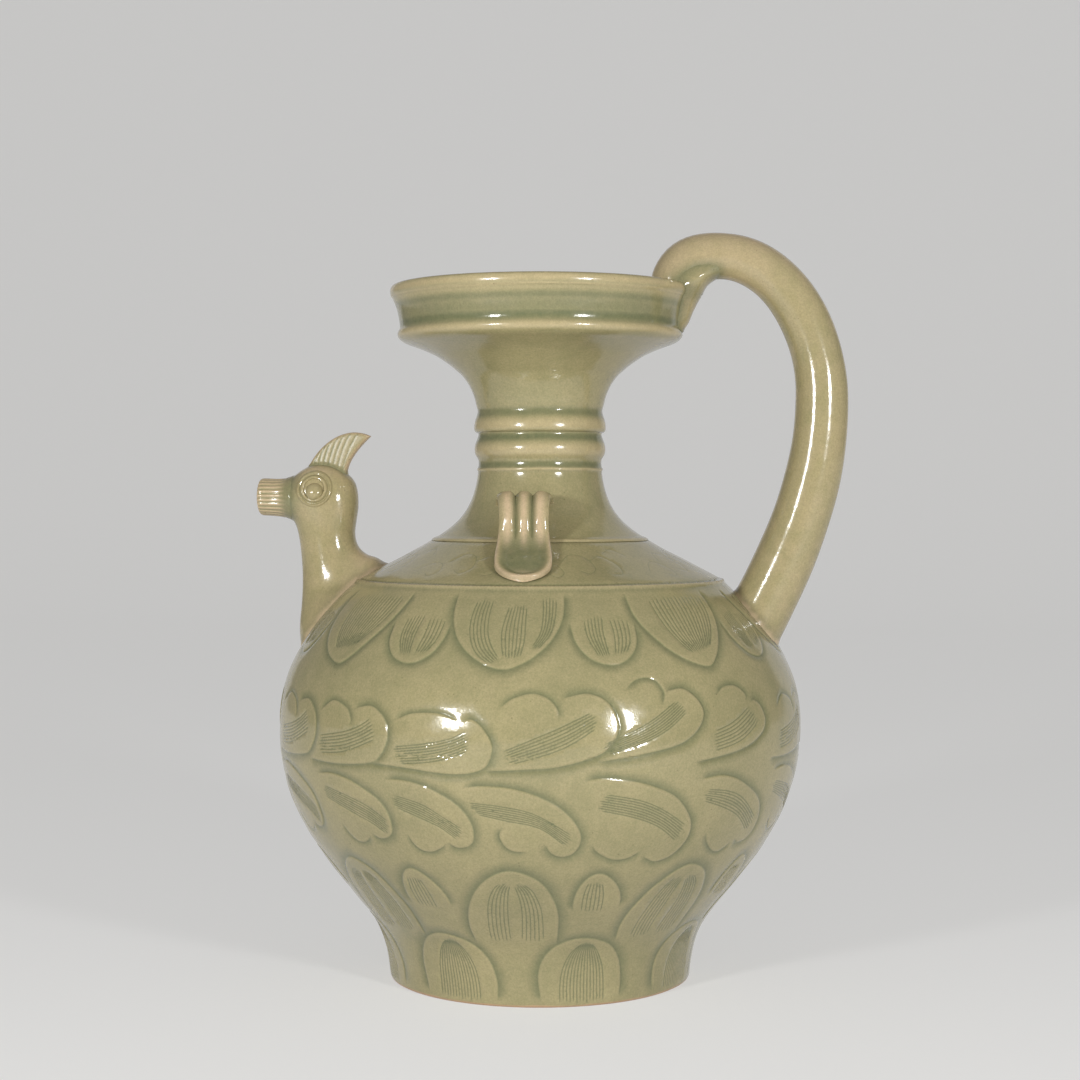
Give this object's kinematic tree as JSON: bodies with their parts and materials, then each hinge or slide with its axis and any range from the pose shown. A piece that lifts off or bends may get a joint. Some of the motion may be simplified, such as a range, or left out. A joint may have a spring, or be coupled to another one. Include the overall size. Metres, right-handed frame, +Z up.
{
  "type": "chicken-head ewer",
  "caption": "Round-bellied celadon ewer with a flared foot, dish mouth, ribbed neck, chicken-head spout, looped handle and ribbed strap lugs on the shoulder.",
  "frame": {"origin": "centre of the flat foot, in the plane that the ewer stands on, on the axis of its body", "axes": "+Z up the body's axis, +X towards the handle, -X towards the chicken's beak, -Y towards the front lug"},
  "size_m": [0.2647, 0.2306, 0.3283],
  "materials": {
    "body_glaze": "glossy",
    "trim_glaze": "glossy"
  },
  "bodies": {
    "root": {"lower_body": "body_glaze", "upper_body": "body_glaze", "neck": "body_glaze", "dish_mouth": "body_glaze", "handle": "trim_glaze", "handle_jaw": "trim_glaze", "lug_front": "trim_glaze", "lug_back": "trim_glaze", "chicken_head": "trim_glaze", "beak": "trim_glaze", "comb": "trim_glaze", "eye_ring_front": "trim_glaze", "eye_ring_back": "trim_glaze", "eye_pellet_front": "trim_glaze", "eye_pellet_back": "trim_glaze"}
  },
  "joints": []
}
